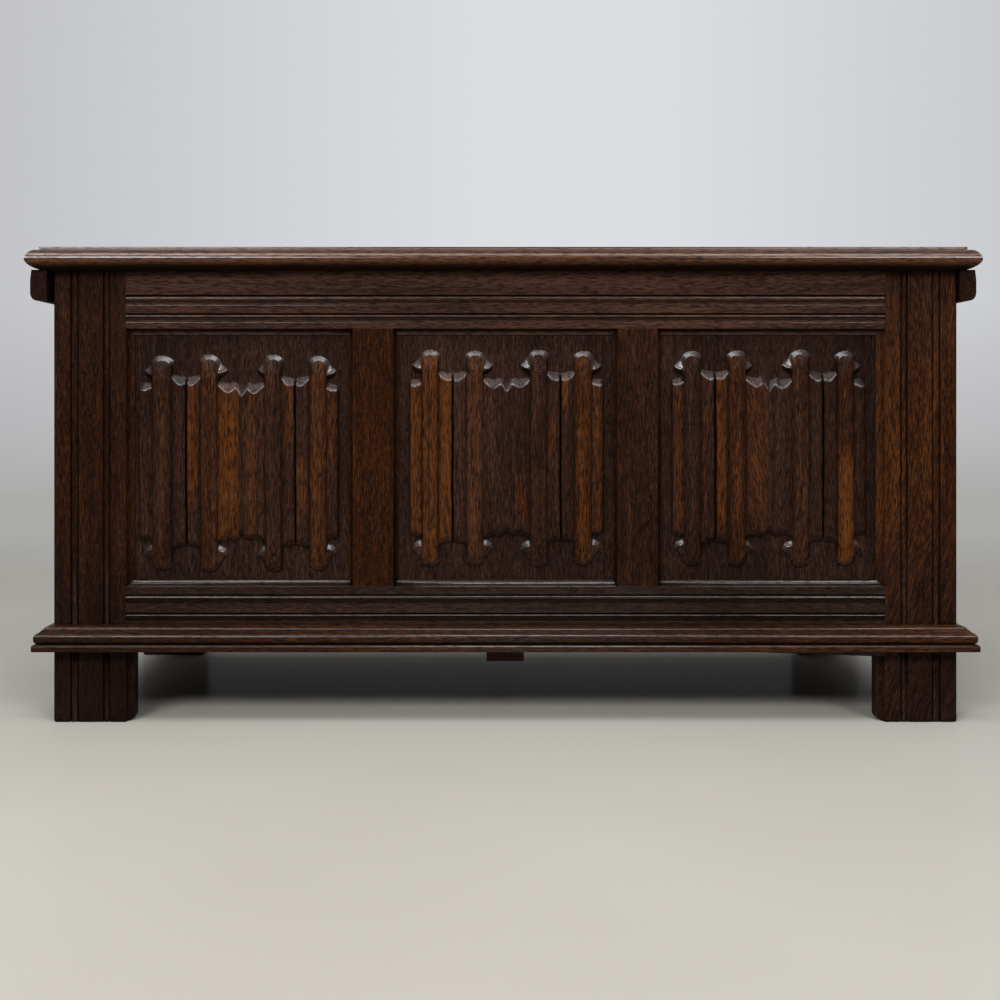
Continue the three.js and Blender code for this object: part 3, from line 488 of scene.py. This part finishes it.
BARB_EDGE = 0.6
BARB_SLOPE = 0.45
BARB_BLEND = 3
UNDERCUT_SLOPE = 0.75
CUT_SLOPE = 0.74
CUT_HOLLOW = 0.012
CUT_LENGTH = 20
UNCUT = 99
LIP = 1.2
LIP_LIGHT_AND_WAX = 1.0
CUT_LIGHT_AND_WAX = 0.14
RIPPLE = 0.09
CHATTER = 0.3
LONGER_FEET = [(-200, -204), (-142.4, -146.4), (-115, -115), (200, 200)]
SHADE_WIDTH = 3.2
SHADE_DEPTH = 2.6
HOLLOW_SHADE = 0.85
FOOT_LINE = (0.05, 1.1)
FOOT_DARK = 0.6
FULL_RISE = 4
HONEY_SIDE = 2
HONEY_END = 30
GROUND_HONEY = 0.1
RAISED_HONEY = 0.25
PATCH_HONEY = 1.2
UNDER_HONEY_LOSS = 0.7
GROUND_TONE = -0.04
RAISED_TONE = 0.06
PATCH_TONE = 0.3
UNDER_TONE = 0.06
LEAST_SHEEN = 0.02
UNDER_SHEEN = 0.15


def through(value, low, high):
    """How far a value has come from low to high, from 0 to 1."""
    return np.clip((value - low) / (high - low), 0, 1)


def away(x, y, line):
    """The distance from points to a run of straight pieces."""
    nearest = np.full(x.shape, np.inf)
    for (x0, y0), (x1, y1) in zip(line, line[1:]):
        run = (x1 - x0) ** 2 + (y1 - y0) ** 2
        share = np.clip(((x - x0) * (x1 - x0) + (y - y0) * (y1 - y0)) / run, 0, 1)
        nearest = np.minimum(nearest, np.hypot(x - x0 - share * (x1 - x0), y - y0 - share * (y1 - y0)))
    return nearest


def within(x, y, outline):
    """Which points lie inside a closed outline."""
    inside = np.zeros(x.shape, bool)
    for (x0, y0), (x1, y1) in zip(outline, outline[1:] + outline[:1]):
        if y0 != y1:
            crosses = (y0 > y) != (y1 > y)
            inside ^= crosses & (x < x0 + (y - y0) * (x1 - x0) / (y1 - y0))
    return inside


def carved(u, v, rng, barbs):
    """The height of the carving above the board, and where its cuts face the ends or the middle."""
    a = np.abs(u)
    w = np.abs(v)
    quarter = rng.uniform(-SLIP, SLIP, (2, 2))[np.where(u < 0, 0, 1), np.where(v < 0, 0, 1)]
    height = np.zeros_like(u)
    cut = np.zeros_like(u)
    lee = np.zeros_like(u)
    for start, stop, first, last, swell, ends in FOLDS:
        share = through(a, start, stop)
        surface = first + (last - first) * share + swell * (1 - (2 * share - 1) ** 2)
        inward = np.maximum(along(a, ends) + quarter - w, 0)
        bevel = np.where(inward < CUT_LENGTH, CUT_SLOPE * inward - CUT_HOLLOW * inward ** 2, UNCUT)
        here = (a >= start) & (a < stop)
        # The bevels of the folds carry painted light and wax, most of it on their lower lips.
        light_and_wax = np.where(surface - bevel < LIP, LIP_LIGHT_AND_WAX, CUT_LIGHT_AND_WAX)
        cut = np.where(here & (bevel < surface) & (bevel > 0), light_and_wax, cut)
        height = np.maximum(height, np.where(here, np.minimum(surface, bevel), 0))
    for place, kind, side in zip(ROLL_PLACES, barbs, (-1, 1, -1, 1)):
        x = (u - place) * side
        y = w + rng.uniform(-ROLL_SLIP, ROLL_SLIP)
        outer = ROLL_TIP + BARBS[kind]
        outline = outer + BARB_UNDER[kind][1:] + [(ROLL_HALF, -ROLL_HALF), (-ROLL_HALF, -ROLL_HALF)]
        near = within(x, y, outline)
        barb = x > ROLL_HALF
        share = np.clip(x / ROLL_HALF, -1, 1)
        crown = ROLL_CROWN - CROWN_FALL * through(y, *CROWN_FALL_SPAN) ** CROWN_FALL_BEND
        edge = ROLL_EDGE + EDGE_RISE * through(y, *EDGE_RISE_SPAN)
        section = edge + (crown - edge) * np.sqrt(1 - share ** 2)
        beyond = np.maximum(np.hypot(x, np.maximum(y - ROLL_ARCH, 0)) - ROLL_HALF, 0)
        far = away(x, y, outer)
        tip = np.where(beyond > 0, TIP_EDGE + TIP_RISE * far / (far + beyond + 0.01), np.inf)
        facet = BARB_EDGE + BARB_SLOPE * far
        tip[barb] += (facet[barb] - tip[barb]) * np.clip((x[barb] - ROLL_HALF) / BARB_BLEND, 0, 1)
        under = np.where(barb, UNDERCUT_SLOPE * away(x, y, BARB_UNDER[kind]), np.inf)
        body = np.where(beyond > 0, ROLL_SHOULDER, section)
        roll = np.where(near, np.minimum(np.minimum(body, tip), under), 0)
        above = roll > height
        cut = np.where(above, near & (tip < body) & (tip <= under), cut)
        lee = np.where(above, near & (under < tip), lee)
        height = np.maximum(height, roll)
    return height, cut, lee


def eased(values):
    """Sharp edges softened by a step each way, as scrapers and wax leave them."""
    before = np.concatenate([values[:, :1], values[:, :-1]], 1)
    after = np.concatenate([values[:, 1:], values[:, -1:]], 1)
    values = (2 * values + before + after) / 4
    before = np.concatenate([values[:1], values[:-1]])
    after = np.concatenate([values[1:], values[-1:]])
    return (2 * values + before + after) / 4


def honey_at(u, v, patches):
    """How far the stain is rubbed back, from patches (u from, u to, v from, v to, share)."""
    amount = np.zeros(u.shape)
    for left, right, low, high, share in patches:
        across = np.clip((u - left) / HONEY_SIDE, 0, 1) * np.clip((right - u) / HONEY_SIDE, 0, 1)
        up = np.clip((v - low) / HONEY_END, 0, 1) * np.clip((high - v) / HONEY_END, 0, 1)
        amount = np.maximum(amount, share * across * up)
    return amount


def wear_on(u, v, height, plain, cut, lee, patches, tone):
    """What the oak reads off a carved face: its honey, painted shade, wax, painted light and tone."""
    reach = int(SHADE_WIDTH / COLUMN_STEP)
    kernel = np.ones(2 * reach + 1) / (2 * reach + 1)
    around = np.apply_along_axis(lambda line: np.convolve(np.pad(line, reach, "edge"), kernel, "valid"),
                                 1, height)
    upper = v > 0
    # Painted shade: the ground beside raised parts and under the barbs is darkened, and so is the low foot
    # of the carving in the lower half.
    hollow = np.clip((around - height) / SHADE_DEPTH, 0, HOLLOW_SHADE) * plain
    hollow = np.maximum(hollow, np.where(upper, HOLLOW_SHADE * lee, 0))
    low, high = FOOT_LINE
    hollow = np.maximum(hollow, np.where(upper | (height < low) | (height > high), 0, FOOT_DARK))
    lit = np.where(upper, cut, lee)
    under = np.where(upper, 0, cut)
    raised = np.clip(height / FULL_RISE, 0, 1)
    amount = honey_at(u, v, patches)
    honey = np.clip(RAISED_HONEY + PATCH_HONEY * amount, 0, 1) * raised + GROUND_HONEY * (1 - raised)
    honey = honey * (1 - UNDER_HONEY_LOSS * under)
    tones = tone + GROUND_TONE + (RAISED_TONE + PATCH_TONE * amount) * raised + UNDER_TONE * under
    sheen = LEAST_SHEEN + (1 - LEAST_SHEEN) * lit + UNDER_SHEEN * under
    return {"honey": honey, "hollow": hollow, "sheen": sheen, "painted_light": lit, "open": under, "tone": tones}


FULL = ("full",) * 4


def linenfold(node, seed, patches, barbs=FULL, tone=0.0, slants=(), chatter=(),
              set_out=((-160, -160), (160, 160)), drop=0.0):
    """One carved board. Patches of honey, slanting grain and tool chatter are areas of the pattern,
    and set_out pairs places across the real board with places on the pattern."""
    low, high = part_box(node)
    on_front = high.y - low.y < high.x - low.x
    middle = (low + high) / 2
    rng = np.random.default_rng(seed)
    half = ((high.x - low.x) if on_front else (high.y - low.y)) / MM / 2
    tall = (high.z - low.z) / MM / 2
    columns = np.linspace(-half, half, int(2 * half / COLUMN_STEP) + 1)
    band = np.arange(END_BAND[0], END_BAND[1], END_STEP)
    centre = np.linspace(-END_BAND[0], END_BAND[0], int(2 * END_BAND[0] / LONG_STEP))[1:-1]
    rows = np.concatenate([[-PATTERN_END], -band[::-1], centre, band, [PATTERN_END]])
    reals = along(rows, LONGER_FEET) - drop
    reals[[0, -1]] = -tall, tall
    u, v = np.meshgrid(columns, rows)
    sway = 0.35 * np.sin(v / 70 + rng.uniform(0, 6)) + 0.15 * np.sin(v / 19 + u / 30)
    u = along(u, set_out)
    height, cut, lee = carved(u + sway, v, rng, barbs)
    plain = 1 - np.maximum(cut, lee)
    height += RIPPLE * np.sin(u / 2.9 + 2 * np.sin(v / 23)) * np.sin(v / 8.5) * (height > 0.5) * plain
    for left, right, bottom, top in chatter:
        rough = (u > left) & (u < right) & (v > bottom) & (v < top)
        gouged = np.sin(v * 1.5 + 1.6 * np.sin(u / 3.1 + v / 6)) * (0.6 + 0.4 * np.sin(v / 2.7 + u))
        height += rough * CHATTER * gouged * (height > 1) * plain
    height = np.maximum(eased(height), 0)
    slant = np.zeros(u.shape)
    for left, right, share in slants:
        slant = np.where((u > left) & (u < right), share * v * MM, slant)
    looks = wear_on(u, v, height, plain, eased(cut), eased(lee), patches, tone) | {"slant": slant}

    count_v, count_u = u.shape
    face = np.stack(np.broadcast_arrays(columns, reals[:, None], height), -1).reshape(-1, 3)
    index = np.arange(count_u * count_v).reshape(count_v, count_u)
    rim = np.concatenate([index[0], index[1:, -1], index[-1, -2::-1], index[-2:0:-1, 0]])
    behind = face[rim].copy()
    behind[:, 2] = -BACK_DEPTH
    points = np.concatenate([face, behind])
    quads = np.stack([index[:-1, :-1], index[:-1, 1:], index[1:, 1:], index[1:, :-1]], -1).reshape(-1, 4)
    back = np.arange(len(rim)) + len(face)
    skirt = np.stack([rim, back, np.roll(back, -1), np.roll(rim, -1)], -1)
    if on_front:
        place = np.stack([points[:, 0], FIELD - points[:, 2], points[:, 1]], -1) * MM
        origin = Vector((middle.x, FRONT, middle.z))
    else:
        hand = 1 if middle.x > 0 else -1
        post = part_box("side_stile_front_" + ("right" if hand > 0 else "left"))
        skin = post[1].x if hand > 0 else post[0].x
        place = np.stack([hand * (points[:, 2] - FIELD), hand * points[:, 0], points[:, 1]], -1) * MM
        origin = Vector((skin, middle.y, middle.z))
    mesh = bpy.data.meshes.new("carving_" + node)
    faces = quads.tolist() + skirt.tolist() + [back[::-1].tolist()]
    mesh.from_pydata((place + np.array(origin)).tolist(), [], faces)
    work = bmesh.new()
    work.from_mesh(mesh)
    bmesh.ops.recalc_face_normals(work, faces=work.faces)
    work.to_mesh(mesh)
    work.free()
    for name, values in looks.items():
        constant(mesh, name, np.concatenate([values.ravel(), np.zeros(len(rim))]))
    constant(mesh, "board", seed)
    mesh.polygons.foreach_set("use_smooth", [True] * len(mesh.polygons))
    mesh.set_sharp_from_angle(angle=math.radians(50))
    mesh.materials.append(OAKS["upright"])
    piece = bpy.data.objects.new("carved_" + node, mesh)
    bpy.context.scene.collection.objects.link(piece)
    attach(piece, "carcass")
    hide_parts(node)


LONG = (-165, 165)
linenfold("front_panel_left", 11, [
    (-32, -2, *LONG, 0.62), (-73, -56, -70, 130, 0.62), (90, 114, *LONG, 0.35), (1, 31, *LONG, 0.2),
    (-114, -91, *LONG, 0.12), (53, 70, 0, 165, 0.35), (-54, -32, *LONG, 0.3), (73, 88, -90, 20, 0.4),
    (112, 129, -20, 150, 0.35)], barbs=("small", "full", "small", "full"), tone=-0.1, drop=6.5,
    set_out=((-160, -152.6), (-136, -128.6), (-107, -102.3), (-90, -88.5), (0, 0), (160, 160)))
linenfold("front_panel_centre", 12, [
    (-130, -113, *LONG, 1.05), (-113, -104, *LONG, 0.85), (-104, -91, *LONG, 0.65), (-91, -73, *LONG, 0.72),
    (89, 114, *LONG, 0.55), (112, 129, *LONG, 0.5), (73, 83, 55, 135, 0.9), (54, 66, -20, 70, 0.5),
    (10, 28, -95, -15, 0.6), (-54, -31, *LONG, 0.2), (31, 54, *LONG, 0.12)], tone=0.0,
    chatter=[(30, 54, 62, 140), (54, 71, 70, 112)], set_out=((-158, -160), (162, 160)))
linenfold("front_panel_right", 13, [
    (-71, -56, -110, 130, 0.85), (-54, -31, *LONG, 0.4), (-31, -2, *LONG, 0.3), (91, 114, -185, 25, 1.25),
    (91, 114, 0, 150, 0.25), (-130, -113, *LONG, 0.3), (-91, -73, *LONG, 0.12), (31, 54, *LONG, 0.15)],
    barbs=("full", "small", "full", "small"), tone=-0.09, slants=[(-31, -1, 0.24)])
linenfold("side_panel_left", 14, [(-113, -91, *LONG, 0.4), (31, 54, *LONG, 0.3), (72, 91, *LONG, 0.5)])
linenfold("side_panel_right", 15, [(-54, -31, *LONG, 0.4), (1, 31, *LONG, 0.3), (112, 129, *LONG, 0.5)])

# Floor boards, ledgers and bearer
# Thin boards laid on a ledger at each end and on a notched bearer across the middle.
# Each board is nailed down with two square-headed iron nails at every support.
BOARDS = ["bottom_board_front", "bottom_board_middle", "bottom_board_back"]
SUPPORTS = ["bottom_ledger_left", "bottom_bearer", "bottom_ledger_right"]
for board, node in enumerate(BOARDS):
    member(node, "carcass", "across", 70 + board, tone=0.12, honey=0.5)
for board, node in enumerate(SUPPORTS):
    member(node, "carcass", "endwise", 74 + board, tone=0.0)

iron, tree = new_material("hinge_iron")
place = add(tree, "TexCoord").outputs["Object"]
rust = add(tree, "TexNoise", {"Vector": place, "Scale": 260.0, "Detail": 4.0})
colour = ramp(tree, rust.outputs["Fac"], (0.35, (0.035, 0.031, 0.028)), (0.65, (0.10, 0.075, 0.055)))
pits = add(tree, "Bump", {"Strength": 0.3, "Distance": 0.3 * MM, "Height": rust.outputs["Fac"]})
surface = add(tree, "BsdfPrincipled", {"Base Color": colour, "Metallic": 0.85, "Roughness": 0.5,
                                       "Normal": pits.outputs[0]})
finish_material(tree, surface.outputs[0])

slot_dirt, tree = new_material("slot_dirt")
place = add(tree, "TexCoord").outputs["Object"]
grit = add(tree, "TexNoise", {"Vector": place, "Scale": 900.0, "Detail": 3.0})
colour = ramp(tree, grit.outputs["Fac"], (0.35, (0.006, 0.004, 0.003)), (0.65, (0.022, 0.014, 0.009)))
surface = add(tree, "BsdfPrincipled", {"Base Color": colour, "Roughness": 0.9, "Specular IOR Level": 0.1})
finish_material(tree, surface.outputs[0])

heads = bpy.data.node_groups.new("heads", "GeometryNodeTree")
heads.interface.new_socket("Geometry", in_out="OUTPUT", socket_type="NodeSocketGeometry")
HEAD_SIZES = {"Places": "Geometry", "Sides": "Int", "Radius": "Float", "Rise": "Float", "Slot": "Bool",
              "Turn": "Float", "Seed": "Int", "Metal": "Material", "Dirt": "Material"}
SOCKETS = {}
for name, kind in HEAD_SIZES.items():
    socket = heads.interface.new_socket(name, in_out="INPUT", socket_type="NodeSocket" + kind)
    SOCKETS[name] = socket.identifier


def headwork(kind, inputs=(), family="GeometryNode", **settings):
    """A node of the tree that makes the heads of nails and screws."""
    return add(heads, kind, inputs, family, **settings)


SLOT_LENGTH_SHARE = 1.7
SLOT_WIDTH_SHARE = 0.26
given = heads.nodes.new("NodeGroupInput").outputs
disc = headwork("MeshCylinder", {"Vertices": given["Sides"], "Radius": given["Radius"],
                                 "Depth": given["Rise"]}).outputs["Mesh"]
disc = headwork("SetMaterial", {"Geometry": disc, "Material": given["Metal"]}).outputs[0]
length = number(heads, "MULTIPLY", given["Radius"], SLOT_LENGTH_SHARE)
width = number(heads, "MULTIPLY", given["Radius"], SLOT_WIDTH_SHARE)
size = add(heads, "CombineXYZ", {0: length, 1: width, 2: given["Rise"]}).outputs[0]
groove = headwork("MeshCube", {"Size": size}).outputs["Mesh"]
lifted = add(heads, "CombineXYZ", {2: 0.02 * MM}).outputs[0]
groove = headwork("Transform", {"Geometry": groove, "Translation": lifted}).outputs[0]
groove = headwork("SetMaterial", {"Geometry": groove, "Material": given["Dirt"]}).outputs[0]
both = headwork("JoinGeometry")
heads.links.new(disc, both.inputs[0])
heads.links.new(groove, both.inputs[0])
head = headwork("Switch", {"Switch": given["Slot"], "False": disc, "True": both.outputs[0]},
                input_type="GEOMETRY").outputs[0]
twist = headwork("RandomValue", {"Seed": given["Seed"]}, "FunctionNode", data_type="FLOAT").outputs["Value"]
twist = add(heads, "CombineXYZ", {2: number(heads, "MULTIPLY", twist, given["Turn"])}).outputs[0]
twist = headwork("EulerToRotation", {0: twist}, "FunctionNode").outputs[0]
driven = headwork("InstanceOnPoints", {"Points": given["Places"], "Instance": head, "Rotation": twist})
driven = headwork("RealizeInstances", {0: driven.outputs[0]}).outputs[0]
heads.links.new(driven, heads.nodes.new("NodeGroupOutput").inputs[0])


def fastened(name, body, places, downward, **values):
    """Nail or screw heads at places, standing up or hanging down, as one plain mesh."""
    turned = Matrix.Rotation(math.pi if downward else 0, 4, "X")
    mesh = bpy.data.meshes.new(name)
    mesh.from_pydata([turned @ Vector(place) for place in places], [], [])
    piece = bpy.data.objects.new(name, mesh)
    bpy.context.scene.collection.objects.link(piece)
    made = piece.modifiers.new("heads", "NODES")
    made.node_group = heads
    for key, value in dict(values, Metal=iron, Dirt=slot_dirt).items():
        made[SOCKETS[key]] = value
    seen = piece.evaluated_get(bpy.context.evaluated_depsgraph_get())
    plain = bpy.data.meshes.new_from_object(seen)
    piece.modifiers.clear()
    piece.data = plain
    plain.transform(turned)
    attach(piece, body)


NAIL_SHARES = (0.2, 0.8)
nails = []
for node in BOARDS:
    low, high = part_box(node)
    for support in SUPPORTS:
        first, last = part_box(support)
        for share in NAIL_SHARES:
            nails.append(((first.x + last.x) / 2, low.y + share * (high.y - low.y), high.z))
fastened("floor_nails", "carcass", nails, downward=False, Sides=4, Radius=3.6 * MM, Rise=1.2 * MM,
         Slot=False, Turn=0.5, Seed=3)

# Base moulding
# One run of oak round the front and the ends, worked with an ogee and a torus.
# It is mitred at the front corners and nailed to the posts.
BASE_SHEEN = [(-0.6, 0.22), (-0.2, 0.28), (-0.03, 0.95), (0.12, 0.95), (0.3, 0.3), (0.6, 0.26)]
member("base_moulding_front", "carcass", "across", 7, tone=-0.05, honey=0.75, sheen=BASE_SHEEN, crease=40)
for board, hand in enumerate(["left", "right"]):
    member("base_moulding_" + hand, "carcass", "endwise", 8 + board, honey=0.42, sheen=0.45, crease=40)

# Lid
# Three boards joined edge to edge, with a moulded nose worked on the front and the ends.
# An oak cleat is fixed under each end, outside the carcass, and keeps the lid flat.
LID_SHEEN = [(-0.61, 1.0), (-0.36, 0.95), (-0.25, 0.7), (0.2, 0.65), (0.35, 0.85), (0.61, 0.9)]
LID_TONES = {"front": 0.36, "middle": 0.18, "back": 0.3}
for board, (place, tone) in enumerate(LID_TONES.items()):
    member("lid_board_" + place, "lid", "across", 20 + board, tone=tone, honey=0.62, sheen=LID_SHEEN,
           crease=35)
for board, hand in enumerate(["left", "right"]):
    member("lid_cleat_" + hand, "lid", "endwise", 25 + board, tone=-0.3)

# Hinges
# Two iron butt hinges, let in flush, with the knuckles just behind the back.
# Each leaf has three slotted screws, driven home until the heads all but sit flush.
for hand in ("left", "right"):
    for node in (f"hinge_leaf_carcass_{hand}", f"hinge_leaf_lid_{hand}", f"hinge_pin_{hand}"):
        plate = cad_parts[node]
        plate.data.materials.clear()
        plate.data.materials.append(iron)
SCREW_SHARES = [(0.16, 0.35), (0.5, 0.62), (0.84, 0.35)]
for body, downward in (("carcass", False), ("lid", True)):
    screws = []
    for hand in ("left", "right"):
        low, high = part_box(f"hinge_leaf_{body}_{hand}")
        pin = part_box(f"hinge_pin_{hand}")[0].y
        for across, deep in SCREW_SHARES:
            screws.append((low.x + across * (high.x - low.x), pin + deep * (low.y - pin),
                           low.z if downward else high.z))
    fastened("screws_" + body, body, screws, downward, Sides=20, Radius=3.2 * MM, Rise=0.2 * MM,
             Slot=True, Turn=3.1, Seed=5)
